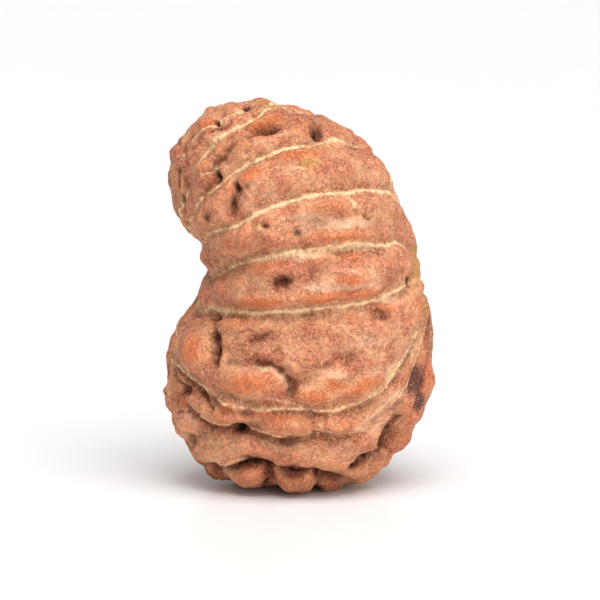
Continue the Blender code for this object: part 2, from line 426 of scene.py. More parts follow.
YELLOW_FIBRES = (
    ((418, 262), 0.65, 2.2, -10, 1.0),
    ((425, 308), 0.35, 1.1, 0, 0.9),
    ((414, 250), 0.5, 0.8, -30, 0.9),
    ((262, 103), 1.6, 0.35, -12, 0.8),
    ((307, 164), 0.9, 0.6, 0, 1.0),
    ((258, 228), 0.6, 0.45, 0, 0.7),
    ((268, 110), 1.8, 0.35, 8, 0.6),
)
CREAM_PATCHES = (
    ((305, 255.5), 2.6, 0.28, 2, 0.9),
    ((345, 249), 2.6, 0.3, 3, 0.7),
    ((227, 311.5), 0.8, 0.2, 0, 1.0),
    ((386, 298), 0.8, 0.35, 28, 0.9),
    ((393, 372), 1.3, 0.38, 52, 1.0),
    ((375, 391), 1.1, 0.3, 35, 0.7),
    ((262, 369), 1.1, 0.14, -5, 0.9),
    ((279, 377), 0.7, 0.16, -42, 0.9),
    ((285, 386), 0.16, 0.5, 0, 0.7),
    ((354, 205), 0.9, 0.16, -48, 0.8),
    ((258, 229), 0.55, 0.4, 0, 0.5),
    ((301, 168), 0.7, 0.25, 8, 0.6),
    ((338, 377), 1.1, 0.2, 0, 0.4),
    ((290, 394), 0.45, 0.8, 0, 0.45),
    ((321, 427), 0.28, 1.3, -8, 0.4),
    ((358, 428), 0.5, 0.14, 15, 0.9),
    ((393, 397), 1.4, 0.26, 42, 0.7),
    ((378, 411), 1.1, 0.16, 40, 0.7),
    ((280, 135), 1.4, 0.16, 5, 0.5),
    ((209, 169), 1.0, 0.2, 22, 0.95),
    ((219, 335), 0.12, 1.4, 0, 0.5),
    ((366, 420), 1.0, 0.2, 42, 0.5),
    ((258, 426), 1.6, 0.14, -15, 0.5),
    ((174, 160), 0.25, 0.25, 0, 0.6),
    ((414, 345), 0.15, 1.6, -6, 0.8),
)
# Pale zones of the skin, and, in the last eight rows, painted light on the lower body
PALE_PATCHES_AND_PAINTED_LIGHT = (
    ((365, 342), 2.0, 1.6, 0, 0.5),
    ((325, 288), 2.2, 0.4, 0, 0.9),
    ((305, 256), 2.6, 0.45, 2, 0.8),
    ((227, 312), 0.8, 0.25, 0, 1.0),
    ((335, 375), 1.2, 0.4, 0, 0.8),
    ((392, 300), 0.9, 0.5, 25, 0.7),
    ((378, 372), 1.2, 0.6, 20, 0.5),
    ((262, 140), 1.8, 0.35, 5, 0.6),
    ((352, 288), 2.4, 0.25, 6, 0.7),
    ((210, 138), 1.2, 0.35, 28, 0.6),
    ((225, 118), 1.4, 0.4, 10, 0.5),
    ((304, 217), 2.2, 0.5, 8, 0.8),
    ((335, 224), 3.2, 0.55, 3, 0.9),
    ((225, 165), 0.4, 0.3, 0, 0.5),
    ((268, 369), 1.5, 0.2, 0, 0.7),
    ((285, 383), 0.25, 0.9, 20, 0.6),
    ((352, 270), 1.5, 0.3, 0, 0.5),
    ((345, 142), 1.0, 0.3, 0, 0.5),
    # Painted light: the rows from here on brighten the lower body
    ((186, 425), 1.6, 2.4, -25, 0.55),
    ((206, 452), 1.8, 1.4, -30, 0.55),
    ((235, 445), 2.0, 1.1, 0, 0.4),
    ((282, 453), 2.8, 1.0, 0, 0.38),
    ((338, 452), 2.2, 1.1, 10, 0.45),
    ((380, 425), 1.8, 1.2, 35, 0.5),
    ((399, 396), 1.6, 0.8, 50, 0.5),
    ((262, 398), 3.0, 0.35, -8, 0.45),
)
# Brown stains, and painted shade on the top, the upper left and the lobes at the base
BROWN_STAINS_AND_PAINTED_SHADE = (
    ((243, 348), 2.6, 1.4, 0, 0.65),
    ((245, 331), 1.1, 0.16, 0, 0.9),
    ((300, 345), 2.0, 1.4, 0, 0.25),
    ((283, 283), 1.2, 0.8, 20, 0.9),
    ((385, 316), 1.3, 0.6, -15, 0.9),
    ((256, 339), 1.6, 0.6, 10, 0.8),
    ((212, 160), 1.5, 0.5, -38, 0.7),
    ((262, 129), 1.4, 0.45, 12, 0.8),
    ((216, 340), 0.5, 2.2, 0, 0.7),
    # Painted shade: the next five rows darken the top and the upper left
    ((262, 112), 3.2, 1.0, 0, 0.55),
    ((310, 118), 3.4, 1.0, -10, 0.55),
    ((205, 140), 2.0, 1.4, 30, 0.55),
    ((190, 180), 1.6, 3.2, 15, 0.5),
    ((222, 170), 2.2, 1.2, 35, 0.45),
    ((176, 205), 0.6, 2.4, 15, 0.5),
    ((172, 165), 0.5, 2.4, 0, 0.45),
    ((425, 350), 0.7, 2.4, 0, 0.5),
    ((428, 335), 0.55, 2.2, 0, 1.0),
    ((423, 294), 0.3, 0.6, 0, 0.8),
    ((214, 472), 0.8, 1.0, 0, 0.6),
    ((316, 368), 1.5, 0.5, 10, 0.6),
    # Painted shade: the next three rows darken the lobes at the base, near the floor
    ((297, 482), 1.5, 1.0, 0, 0.75),
    ((332, 480), 1.5, 1.1, 0, 0.9),
    ((268, 480), 0.8, 1.2, 0, 0.7),
    ((300, 334), 3.0, 1.1, 0, 0.45),
    ((300, 153), 2.0, 0.5, 6, 0.35),
    ((328, 207), 1.6, 0.5, 4, 0.4),
    ((305, 277), 1.8, 0.6, 0, 0.35),
    ((168, 180), 0.3, 2.6, 0, 0.6),
    ((183, 205), 0.35, 2.2, -14, 0.6),
    ((225, 158), 0.9, 0.7, -30, 0.6),
    ((206, 218), 0.3, 0.8, 0, 0.6),
    ((234, 198), 0.6, 1.5, 0, 0.7),
    ((395, 330), 1.1, 0.5, 0, 0.35),
    ((390, 440), 0.6, 1.6, -38, 0.8),
    ((292, 372), 1.6, 0.4, -10, 0.4),
    ((397, 403), 1.1, 0.5, 40, 0.7),
)

# How much wider than its row says a patch or a hole is, and how flat-topped the bells are
PATCH_SPREAD = 1.1
HOLE_SPREAD = 1.15
HOLE_POWER = 1.2
KNOB_POWER = 1.7

# Knobs, pits and creases of the hidden sides, from a fixed seed: how much the wall may still
# face the camera, how high above the floor they start, in millimetres, how many there are, and
# the shape of their bells
SIDE_SEED = 18
SIDE_FACING = 0.12
SIDE_LOWEST = 0.3
SIDE_KNOBS = 90
SIDE_PITS = 70
SIDE_CREASES = 60
SIDE_KNOB_POWER = 1.3
SIDE_REACH = 1.5

# Cells along each edge of the skin's six grids, how much finer they are in front, how far each
# grid stays inside its part of the sheet, and how often the rise is smoothed for the relief
GRID = 128
CROWDING = 0.25
SHEET_MARGIN = 0.012
RELIEF_ROUNDS = 60


def smooth_curve(knots, values, at):
    """Natural cubic spline through (knot, value) pairs, read at every entry of the array at."""
    count = len(knots)
    step = np.diff(knots)
    slope = np.diff(values) / step
    system = np.eye(count)
    right = np.zeros(count)
    for i in range(1, count - 1):
        system[i, i - 1 : i + 2] = step[i - 1], 2 * (step[i - 1] + step[i]), step[i]
        right[i] = 6 * (slope[i] - slope[i - 1])
    bend = np.linalg.solve(system, right)
    i = np.clip(np.searchsorted(knots, at) - 1, 0, count - 2)
    before = at - knots[i]
    after = knots[i + 1] - at
    cubic = (bend[i] * after**3 + bend[i + 1] * before**3) / (6 * step[i])
    start = values[i] / step[i] - bend[i] * step[i] / 6
    end = values[i + 1] / step[i] - bend[i + 1] * step[i] / 6
    return cubic + start * after + end * before


def unit(vectors):
    """Every vector of the array at length one."""
    return vectors / np.linalg.norm(vectors, axis=-1, keepdims=True)


def smooth_step(low, high, at):
    """0 at low, 1 at high, level beyond them, and 3x^2 - 2x^3 between them."""
    x = np.clip((at - low) / (high - low), 0, 1)
    return x * x * (3 - 2 * x)


class Body:
    """The smooth body: at each height of the unit sphere, an oval whose middle, half width
    and half depth are read from smooth curves through OUTLINE."""

    def __init__(self):
        height, left, right, front, back = np.array(OUTLINE[::-1]).T
        self.middle = (HIGHEST + LOWEST) / 2
        self.half = (HIGHEST - LOWEST) / 2
        self.knots = (height - self.middle) / self.half
        round_share = np.sqrt(1 - self.knots**2)
        middles = (left + right) / 2, (front + back) / 2
        halves = (right - left) / 2 / round_share, (back - front) / 2 / round_share
        self.ovals = middles + halves

    def points(self, directions):
        """Where the directions on the unit sphere land on the body, in millimetres."""
        x, y, z = np.moveaxis(directions, -1, 0)
        at = np.clip(z, self.knots[0], self.knots[-1])
        middle_x, middle_y, half_x, half_y = (
            smooth_curve(self.knots, values, at) for values in self.ovals
        )
        return np.stack(
            (middle_x + half_x * x, middle_y + half_y * y, self.middle + self.half * z), -1
        )


BODY = Body()
NUDGE = 1e-3
TINY = 1e-12
NEARLY_UPRIGHT = 0.9
UPRIGHT = (0.0, 0.0, 1.0)
LEVEL = (1.0, 0.0, 0.0)


def sideways(directions):
    """Two unit directions square to each given direction and to each other."""
    helper = np.where(np.abs(directions[..., 2:3]) < NEARLY_UPRIGHT, UPRIGHT, LEVEL)
    first = unit(np.cross(helper, directions))
    return first, np.cross(directions, first)


def slopes(function, directions):
    """How fast a function of the direction changes along each of the two sideways turns:
    the difference between a nudge ahead and a nudge behind, over twice the nudge."""
    found = []
    for side in sideways(directions):
        ahead = function(unit(directions + NUDGE * side))
        behind = function(unit(directions - NUDGE * side))
        found.append((ahead - behind) / (2 * NUDGE))
    return found


def normals(directions):
    """The body's outward unit normal at each direction."""
    first, second = slopes(BODY.points, directions)
    return unit(np.cross(first, second))


def pixels_of(points):
    """Where points in millimetres show in the picture, in pixels."""
    away = points - CAMERA_AIM
    shrink = CAMERA_DISTANCE / (CAMERA_DISTANCE + away @ LOOK) / MM_PER_PIXEL
    return np.stack(
        (AIM_PIXEL[0] + (away @ RIGHT) * shrink, AIM_PIXEL[1] - (away @ UP) * shrink), -1
    )


# Finding the direction that shows at a pixel
SCATTERED = 6000
NEWTON_ROUNDS = 4
LONGEST_STEP = 0.1
EDGE_ON_AREA = 4e3


def scattered_directions():
    """Directions spread evenly over the sphere along a spiral of golden angles, of which
    those are kept that face the camera."""
    number = np.arange(SCATTERED)
    turn = number * math.pi * (3 - math.sqrt(5))
    height = 1 - (2 * number + 1) / SCATTERED
    ring = np.sqrt(1 - height**2)
    spiral = np.stack((ring * np.cos(turn), ring * np.sin(turn), height), -1)
    facing = np.sum(normals(spiral) * (EYE - BODY.points(spiral)), -1) > 0
    return spiral[facing]


def directions_under(pixels, lift):
    """The direction whose point of the body's front, lifted off it by that many millimetres,
    shows at each pixel: the nearest of the scattered ones, then improved by Newton's steps
    in the picture, except where the wall is seen nearly edge-on."""

    def shown(directions):
        return pixels_of(BODY.points(directions) + lift * normals(directions))

    scattered = scattered_directions()
    pixels = np.asarray(pixels, float)
    gaps = np.linalg.norm(shown(scattered)[None] - pixels[:, None], axis=-1)
    best = scattered[np.argmin(gaps, axis=1)]
    for _ in range(NEWTON_ROUNDS):
        first, second = sideways(best)
        (first_x, first_y), (second_x, second_y) = (way.T for way in slopes(shown, best))
        miss_x, miss_y = (pixels - shown(best)).T
        area = first_x * second_y - first_y * second_x
        area = np.where(np.abs(area) < EDGE_ON_AREA, np.inf, area)
        along_first = (miss_x * second_y - miss_y * second_x) / area
        along_second = (first_x * miss_y - first_y * miss_x) / area
        step = np.clip((along_first, along_second), -LONGEST_STEP, LONGEST_STEP)[..., None]
        best = unit(best + (step[0] * first + step[1] * second))
    return best


# Turn and latitude between the two ends

LEFT_END, RIGHT_END = unit(np.array(ENDS))
LEAN = np.linalg.norm(LEFT_END + RIGHT_END) / 2
BETWEEN = unit(LEFT_END + RIGHT_END)
AXIS = unit(RIGHT_END - LEFT_END)
TOP = unit(UPRIGHT - AXIS[2] * AXIS)
FRONT = np.cross(AXIS, TOP)


def squeezed(directions, towards, shift):
    """The sphere squeezed towards one side without changing angles: the part of a direction
    across that side shrinks by the root of 1 - shift^2, the part along it moves by shift, and
    both are divided by 1 + shift times the part along it."""
    along = (directions @ towards)[..., None]
    across = directions - along * towards
    moved = math.sqrt(1 - shift**2) * across + (along + shift) * towards
    return moved / (1 + shift * along)


def turn_and_latitude(directions):
    """Turn round the axis through the ends, in radians from the top over the front, and the
    latitude from -1 at the left end to 1 at the right end, on the sphere squeezed so that
    the two ends lie opposite each other."""
    straight = squeezed(directions, BETWEEN, -LEAN)
    return np.arctan2(straight @ FRONT, straight @ TOP), straight @ AXIS


def turn_slopes(directions):
    """Slopes of the turn and of the latitude along the two sideways turns."""
    turn, _ = turn_and_latitude(directions)
    sines = slopes(lambda way: np.sin(turn_and_latitude(way)[0]), directions)
    cosines = slopes(lambda way: np.cos(turn_and_latitude(way)[0]), directions)
    turns = [np.cos(turn) * sine - np.sin(turn) * cosine for sine, cosine in zip(sines, cosines)]
    latitudes = slopes(lambda way: turn_and_latitude(way)[1], directions)
    return turns, latitudes


def steepness(first, second, directions):
    """Length of a field's gradient on the body, per millimetre, from its slopes along the
    two sideways turns and from how far the body runs along each of them."""
    first_run, second_run = slopes(BODY.points, directions)
    first_squared = np.sum(first_run**2, -1)
    product = np.sum(first_run * second_run, -1)
    second_squared = np.sum(second_run**2, -1)
    squared = second_squared * first**2 - 2 * product * first * second + first_squared * second**2
    squared = squared / (first_squared * second_squared - product**2)
    return np.sqrt(np.maximum(squared, TINY))


# Noise: smooth random hills and cells in space, the same on each run

NOISE_TABLE = unit(np.random.default_rng(7).normal(size=(4096, 3)))
NOISE_PRIMES = np.array((73856093, 19349663, 83492791))
SEED_STRIDE = 7919
HILL_SHIFT = 17.31
CELL_SHIFT = 11.7
CELL_SCATTER = 0.45


def table_rows(corners, seed):
    """For each corner with whole-numbered places, a row of the noise table, as if at random."""
    return ((corners * NOISE_PRIMES).sum(-1) + seed * SEED_STRIDE) % len(NOISE_TABLE)


def hills(points, size, seed):
    """Gradient noise: each corner of a grid of the given cell size has a random slope, and
    the slopes are blended with 6x^5 - 15x^4 + 10x^3. About -0.7 to 0.7."""
    places = points / size + seed * HILL_SHIFT
    cell = np.floor(places).astype(np.int64)
    inside = places - cell
    blend = inside**3 * (inside * (inside * 6 - 15) + 10)
    total = np.zeros(len(points))
    for corner in np.ndindex(2, 2, 2):
        corner = np.array(corner)
        slope = np.sum(NOISE_TABLE[table_rows(cell + corner, seed)] * (inside - corner), -1)
        total += slope * np.prod(np.where(corner == 1, blend, 1 - blend), -1)
    return total


def shifts(points, size, seed):
    """A random shift for every point: gradient noise from three seeds in a row."""
    return np.stack([hills(points, size, seed + i) for i in range(3)], -1)


def cells(points, size, seed):
    """Random cells: one middle strewn in each cube of the given size. Returns how much
    farther the second nearest middle is than the nearest, in cube sizes, and a random
    number from -1 to 1 for the cell of the nearest."""
    places = points / size + seed * CELL_SHIFT
    cube = np.floor(places).astype(np.int64)
    nearest = np.full(len(points), np.inf)
    second = np.full(len(points), np.inf)
    own = np.zeros(len(points))
    for offset in np.ndindex(3, 3, 3):
        corner = cube + np.array(offset) - 1
        row = table_rows(corner, seed)
        middle = corner + 0.5 + CELL_SCATTER * NOISE_TABLE[row]
        gap = np.linalg.norm(places - middle, axis=-1)
        closer = gap < nearest
        second = np.where(closer, nearest, np.minimum(second, gap))
        own = np.where(closer, NOISE_TABLE[(row * 31 + 7) % len(NOISE_TABLE), 0], own)
        nearest = np.minimum(nearest, gap)
    return second - nearest, own


def ragged(points):
    """The points moved about by noise, so that what is measured between them is uneven."""
    return points + 0.3 * shifts(points, 1.1, seed=41) + 0.16 * shifts(points, 0.45, seed=44)


def cube_sphere(count):
    """The unit sphere as six square grids: each point of a cube's face is pushed out to the
    sphere, with the tangent of the grid place so that the cells stay nearly even, and the
    sphere is then squeezed so that they are finer in front. Returns the welded directions,
    the quads and each quad corner's place on a 3 by 2 sheet."""
    steps = np.tan(np.linspace(-1, 1, count + 1) * math.pi / 4)
    u, v = np.meshgrid(steps, steps, indexing="ij")
    one = np.ones_like(u)
    faces = (
        np.stack((one, u, v), -1), np.stack((-u, one, v), -1), np.stack((-one, -u, v), -1),
        np.stack((u, -one, v), -1), np.stack((-v, u, one), -1), np.stack((v, u, -one), -1),
    )
    loose = unit(np.concatenate([face.reshape(-1, 3) for face in faces]))
    loose = squeezed(loose, -LOOK, CROWDING)
    _, first, welded = np.unique(
        np.round(loose, 6) + 0.0, axis=0, return_index=True, return_inverse=True
    )
    corner = np.arange((count + 1) ** 2).reshape(count + 1, count + 1)
    quad = np.stack((corner[:-1, :-1], corner[1:, :-1], corner[1:, 1:], corner[:-1, 1:]), -1)
    quads = np.concatenate([quad.reshape(-1, 4) + i * (count + 1) ** 2 for i in range(6)])
    place = np.linspace(SHEET_MARGIN, 1 - SHEET_MARGIN, count + 1)
    a, b = np.meshgrid(place, place, indexing="ij")
    sheet = np.concatenate(
        [np.stack(((a + i % 3) / 3, (b + i // 3) / 2), -1).reshape(-1, 2) for i in range(6)]
    )
    return loose[first], welded.reshape(-1)[quads], sheet[quads.reshape(-1)]


class Seams:
    """Every seam as a curve of turn against latitude, and for each vertex its signed distance
    to the nearest seam, its place between two seams and the groove under the lips."""

    LATITUDES = np.linspace(-1, 1, 801)
    SMOOTHING = 0.022
    FARTHEST_TURN = 1.2
    FAR = 99.0

    def __init__(self):
        self.curves = []
        self.looks = []
        for seam in FRONT_SEAMS:
            turn, latitude = turn_and_latitude(directions_under(seam["pixels"], SEAM_LIFT))
            order = np.argsort(latitude)
            left, right = seam["ends"]
            turns = np.concatenate(([left], np.degrees(turn[order]), [right]))
            places = np.concatenate(([-END_LATITUDE], latitude[order], [END_LATITUDE]))
            self.add(places, turns, seam)
        wander = np.random.default_rng(SIDE_SEED)
        for degrees in BACK_SEAM_TURNS:
            at_waist = math.radians(degrees)
            waist = TOP * math.cos(at_waist) + FRONT * math.sin(at_waist)
            turn = math.degrees(turn_and_latitude(waist)[0]) % 360
            places = np.linspace(-END_LATITUDE, END_LATITUDE, BACK_SEAM_BENDS)
            turns = turn + wander.normal(size=BACK_SEAM_BENDS) * BACK_SEAM_WANDER
            looks = {
                name: mean + wander.normal(size=3) * spread
                for name, (mean, spread) in BACK_SEAM_LOOKS.items()
            }
            fine_places = np.linspace(-END_LATITUDE, END_LATITUDE, BACK_SEAM_STEPS)
            self.add(fine_places, smooth_curve(places, turns, fine_places), looks)

    def add(self, places, turns, looks):
        """One more seam: its turns run straight between the places and are then smoothed
        with a bell."""
        straight = np.interp(self.LATITUDES, places, np.radians(turns))
        step = self.LATITUDES[1] - self.LATITUDES[0]
        reach = int(3 * self.SMOOTHING / step)
        bell = np.exp(-((np.arange(-reach, reach + 1) * step / self.SMOOTHING) ** 2) / 2)
        padded = np.pad(straight, reach, mode="edge")
        self.curves.append(np.convolve(padded, bell / bell.sum(), mode="valid"))
        self.looks.append(looks)

    def measure(self, directions, wobble):
        """Fills in, for every direction: latitude; distance, the millimetres to the nearest
        seam, positive on its upper side and made uneven by adding wobble; here, the looks of
        that seam at the latitude; groove, the depth of the grooves under the lips; share, the
        way from one seam to the next; and width, of the segment in millimetres. A distance is
        the turn to a seam's curve, divided by how steeply that turn changes on the body."""
        turn, latitude = turn_and_latitude(directions)
        turns, latitudes = turn_slopes(directions)
        before = np.full(len(turn), -self.FAR)
        after = np.full(len(turn), self.FAR)
        self.latitude = latitude
        self.distance = np.full(len(turn), self.FAR)
        self.here = {name: np.zeros(len(turn)) for name in SEAM_LOOKS}
        self.groove = np.zeros(len(turn))
        for curve, looks in zip(self.curves, self.looks):
            away = np.interp(latitude, self.LATITUDES, curve) - turn
            away = (away + math.pi) % math.tau - math.pi
            tilt = np.interp(latitude, self.LATITUDES, np.gradient(curve, self.LATITUDES))
            first = turns[0] - tilt * latitudes[0]
            second = turns[1] - tilt * latitudes[1]
            gap = away / steepness(first, second, directions) + wobble
            gap = np.where(np.abs(away) < self.FARTHEST_TURN, gap, self.FAR)
            nearer = np.abs(gap) < np.abs(self.distance)
            self.distance = np.where(nearer, gap, self.distance)
            for name in SEAM_LOOKS:
                strength = np.interp(latitude, LOOK_LATITUDES, looks[name])
                self.here[name] = np.where(nearer, strength, self.here[name])
            undercut = np.interp(latitude, LOOK_LATITUDES, looks["undercut"])
            groove = undercut * np.exp(-(((gap + LIP + GROOVE_AWAY) / GROOVE_HALF) ** 2))
            self.groove = np.maximum(self.groove, groove)
            before = np.where((away <= 0) & (away > before), away, before)
            after = np.where((away > 0) & (away < after), away, after)
        self.share = -before / (after - before)
        self.width = (after - before) / steepness(*turns, directions)


def bell_at(
    points, middle, half_width, half_height, tilt, right=RIGHT, up=UP, power=1.0, reach=3.0
):
    """1 at the middle, fading like exp(-(e^2)^power), where e is the elliptic distance in the
    plane of right and up, turned by tilt degrees, and across that plane reaches as many times
    the larger half size as reach says."""
    away = points - middle
    rightward = away @ right
    upward = away @ up
    across = away @ np.cross(right, up)
    cosine = math.cos(math.radians(tilt))
    sine = math.sin(math.radians(tilt))
    depth = reach * max(half_width, half_height)
    squared = ((rightward * cosine + upward * sine) / half_width) ** 2
    squared += ((upward * cosine - rightward * sine) / half_height) ** 2
    squared += (across / depth) ** 2
    return np.exp(-(squared**power))


def fold_along(points, line, half_width):
    """1 on a line of straight runs, fading like exp(-(d / half_width)^2), where d is the
    shortest distance to the line."""
    nearest = np.full(len(points), np.inf)
    for start, end in zip(line[:-1], line[1:]):
        run = end - start
        share = np.clip((points - start) @ run / (run @ run), 0, 1)
        gap = np.linalg.norm(points - start - share[:, None] * run, axis=1)
        nearest = np.minimum(nearest, gap)
    return np.exp(-((nearest / half_width) ** 2))


class Front:
    """The side of the shaped skin that the camera sees, for finding what shows at a pixel."""

    def __init__(self, points, outward):
        self.seen = np.flatnonzero(np.sum(outward * (EYE - points), -1) > 0)
        self.pixels = pixels_of(points[self.seen])
        self.points = ragged(points)

    def at(self, pixels):
        """The ragged skin points that show nearest to the pixels."""
        found = []
        for pixel in pixels:
            gap = np.sum((self.pixels - pixel) ** 2, -1)
            found.append(self.points[self.seen[np.argmin(gap)]])
        return np.array(found)

    def patches(self, rows):
        """The strongest of a list of soft patches at every point."""
        total = np.zeros(len(self.points))
        middles = self.at([row[0] for row in rows])
        for middle, (_, half_width, half_height, tilt, strength) in zip(middles, rows):
            half_sizes = half_width * PATCH_SPREAD, half_height * PATCH_SPREAD
            total = np.maximum(total, strength * bell_at(self.points, middle, *half_sizes, tilt))
        return total

    def hollows(self):
        """Depth in millimetres, and darkness, of the pits and creases that the front shows. The
        darkness is painted shade in them, partly dark stain.
        """
        depth_here = np.zeros(len(self.points))
        dark = np.zeros(len(self.points))
        middles = self.at([row[0] for row in PITS])
        for middle, (_, half_width, half_height, tilt, depth, darkness) in zip(middles, PITS):
            half_sizes = half_width * HOLE_SPREAD, half_height * HOLE_SPREAD
            hole = bell_at(self.points, middle, *half_sizes, tilt, power=HOLE_POWER)
            depth_here += depth * hole
            dark = np.maximum(dark, darkness * hole)
        for pixels, half_width, depth, darkness in CREASES:
            fold = fold_along(self.points, self.at(pixels), half_width)
            depth_here += depth * fold
            dark = np.maximum(dark, darkness * fold)
        return depth_here, dark


def front_knobs(points):
    """Rise of the skin in millimetres from the knobs that the front shows: the sum of their
    bells."""
    middles = ragged(BODY.points(directions_under([row[0] for row in KNOBS], KNOB_LIFT)))
    rise = np.zeros(len(points))
    for middle, (_, half_width, half_height, tilt, lift) in zip(middles, KNOBS):
        rise += lift * bell_at(points, middle, half_width, half_height, tilt, power=KNOB_POWER)
    return rise


def side_features(points, outward):
    """The same kinds of knobs, pits and creases, strewn over the sides that the front doesn't
    show, from a fixed seed. Bells and folds add up to the rise, and the darkest of the pits
    and creases counts. Knobs lie along the segments, and creases point any way."""
    random = np.random.default_rng(SIDE_SEED)
    rise = np.zeros(len(points))
    dark = np.zeros(len(points))
    hidden = np.flatnonzero((outward @ -LOOK < SIDE_FACING) & (points[:, 2] > SIDE_LOWEST))
    along = unit(np.cross(outward, np.cross(AXIS, outward)))
    up = np.cross(outward, along)
    chosen = random.choice(hidden, SIDE_KNOBS + SIDE_PITS + SIDE_CREASES, replace=False)

    def bell(i, half_width, half_height, tilt, power):
        return bell_at(
            points, points[i], half_width, half_height, tilt, along[i], up[i], power, SIDE_REACH
        )

    for i in chosen[:SIDE_KNOBS]:
        half_width, half_height = random.uniform(1.1, 2.4), random.uniform(0.7, 1.3)
        lift = random.uniform(0.1, 0.35)
        tilt = random.normal() * 25
        rise += lift * bell(i, half_width, half_height, tilt, SIDE_KNOB_POWER)
    for i in chosen[SIDE_KNOBS : SIDE_KNOBS + SIDE_PITS]:
        half_width, half_height = random.uniform(0.15, 0.6), random.uniform(0.15, 0.4)
        depth = random.uniform(0.3, 0.8)
        tilt = random.uniform(-60, 60)
        hole = bell(i, half_width, half_height, tilt, HOLE_POWER)
        rise -= depth * hole
        # The pit's darkness is painted shade in the hole, partly dark stain
        dark = np.maximum(dark, random.uniform(0.5, 1.0) * hole)
    for i in chosen[SIDE_KNOBS + SIDE_PITS :]:
        heading = random.uniform(0, math.pi)
        way = math.cos(heading) * along[i] + math.sin(heading) * up[i]
        length = random.uniform(1.0, 2.6)
        bend = random.normal() * 0.3 * np.cross(outward[i], way)
        line = points[i] + np.outer((-0.5, 0.0, 0.5), way * length) + np.outer((0, 1, 0), bend)
        fold = fold_along(points, line, random.uniform(0.2, 0.32))
        rise -= random.uniform(0.15, 0.4) * fold
        # The crease's darkness is painted shade in the fold, partly dark stain
        dark = np.maximum(dark, random.uniform(0.2, 0.6) * fold)
    return rise, dark


def smoothed(values, quads, rounds):
    """Values spread over the mesh: each round, a vertex takes the mean over its quads."""
    count = len(values)
    flat = quads.reshape(-1)
    uses = np.bincount(flat, minlength=count)
    for _ in range(rounds):
        per_quad = values[quads].mean(axis=1)
        values = np.bincount(flat, np.repeat(per_quad, 4), count) / uses
    return values


def pillow_rise(seams):
    """Rise of the wall between two seams: a power arch over the segment, no higher than a
    share of its width, and partly sunk so that the seams lie in valleys."""
    arch = 1 - np.abs(2 * seams.share - 1) ** PILLOW_POWER
    height = np.minimum(PILLOW_HEIGHT, PILLOW_HEIGHT_PER_WIDTH * seams.width)
    return height * (arch - PILLOW_SUNK_SHARE)


def lumpy_rise(base, distance, calm):
    """Rise of the wall from noise: hills of two sizes, cells that each swell to a height of
    their own, and finer bumps. All but the finest are lower near a seam, and the hills and
    cells also near the ends."""
    wavy = base + 0.5 * shifts(base, 3.0, seed=31)
    clear_of_seam = smooth_step(0.1, 0.9, distance)
    flatter = wavy * (0.8, 0.8, 1.25)
    lumps = 0.55 * hills(flatter, 3.4, seed=1) + 0.34 * hills(wavy, 1.9, seed=2)
    wider = wavy * (0.62, 0.8, 1.0)
    gap, own = cells(wider, 2.1, seed=5)
    blobs = smooth_step(0.0, 0.8, gap) * (0.26 + 0.2 * own) - 0.12
    large = clear_of_seam * (0.35 + 0.65 * calm) * (lumps + blobs)
    small = 0.12 * hills(base, 0.9, seed=3) * (0.4 + 0.6 * clear_of_seam)
    return large + small + 0.07 * hills(base, 0.5, seed=4)


def seam_rise(seams, cream):
    """Rise of the wall from its seams: minus a bell for the valley, plus the ledge, which
    stands out above the lip and lies back below it and fades exponentially away from it,
    minus the groove under the lip, plus a thin bell for the ridge."""
    distance = np.abs(seams.distance)
    from_lip = seams.distance + LIP
    side = np.clip(from_lip / LIP_ROUNDING, -1, 1)
    valley = seams.here["valley"] * np.exp(-((distance / VALLEY_HALF) ** 2))
    ledge = seams.here["ledge"] * side * np.exp(-np.abs(from_lip) / LEDGE_FADE)
    ridge = RIDGE_HEIGHT * cream * np.exp(-((distance / RIDGE_HALF) ** 2))
    return ledge + ridge - valley - seams.groove


def shape_skin(directions, quads):
    """Points of the finished skin in millimetres, and the fields that its finish needs. A
    point is the smooth body's, moved along its normal by the sum of all rises, and no lower
    than the floor. The relief is the rise less the rise smoothed over the mesh."""
    base = BODY.points(directions)
    outward = normals(directions)
    seams = Seams()
    wobble = 0.16 * hills(base, 1.5, seed=51) + 0.08 * hills(base, 0.5, seed=52)
    seams.measure(directions, wobble)
    distance = np.abs(seams.distance)
    near_end = 1 - np.abs(seams.latitude)
    calm = smooth_step(0.0, 0.45, 1 + seams.latitude) * smooth_step(0.0, 0.25, 1 - seams.latitude)
    fade = smooth_step(0.01, 0.12, near_end) * (0.35 + 0.65 * calm)
    crumbling = 1 + 0.7 * hills(base, 1.8, seed=53) + 0.6 * hills(base, 0.6, seed=54)
    cream = seams.here["cream"] * crumbling * (0.3 + 0.7 * fade)

    uneven = ragged(base)
    side_rise, side_dark = side_features(uneven, outward)
    rise = pillow_rise(seams) + lumpy_rise(base, distance, calm) + fade * seam_rise(seams, cream)
    rise += front_knobs(uneven) + side_rise - SKIN_SUNK
    rise -= END_DIMPLE * np.exp(-((near_end / END_DIMPLE_REACH) ** 2))

    front = Front(base + outward * rise[:, None], outward)
    depth, dark = front.hollows()
    rise -= depth
    points = base + outward * rise[:, None]
    points[:, 2] = np.maximum(points[:, 2], 0.0)
    end_fibres = END_FIBRES * np.exp(-near_end / END_DIMPLE_REACH)
    fields = {
        "seam_edge": CREAM_HALF * cream - distance,
        # groove: painted shade in the grooves under the lips
        "groove": fade * seams.groove,
        "relief": rise - smoothed(rise, quads, RELIEF_ROUNDS),
        # pit: painted shade in the pits and creases, partly dark stain
        "pit": np.maximum(dark, side_dark),
        "orange": front.patches(ORANGE_PATCHES),
        "purple": front.patches(PURPLE_STAINS),
        "yellow": np.maximum(front.patches(YELLOW_FIBRES), end_fibres),
        # pale: real pale zones, and painted light on the lower body
        "pale": front.patches(PALE_PATCHES_AND_PAINTED_LIGHT),
        "cream": front.patches(CREAM_PATCHES),
        # brown: brown stains, and painted shade on the top and at the base
        "brown": front.patches(BROWN_STAINS_AND_PAINTED_SHADE),
        "hidden": smooth_step(0.25, -0.1, outward @ -LOOK),
    }
    return points, fields


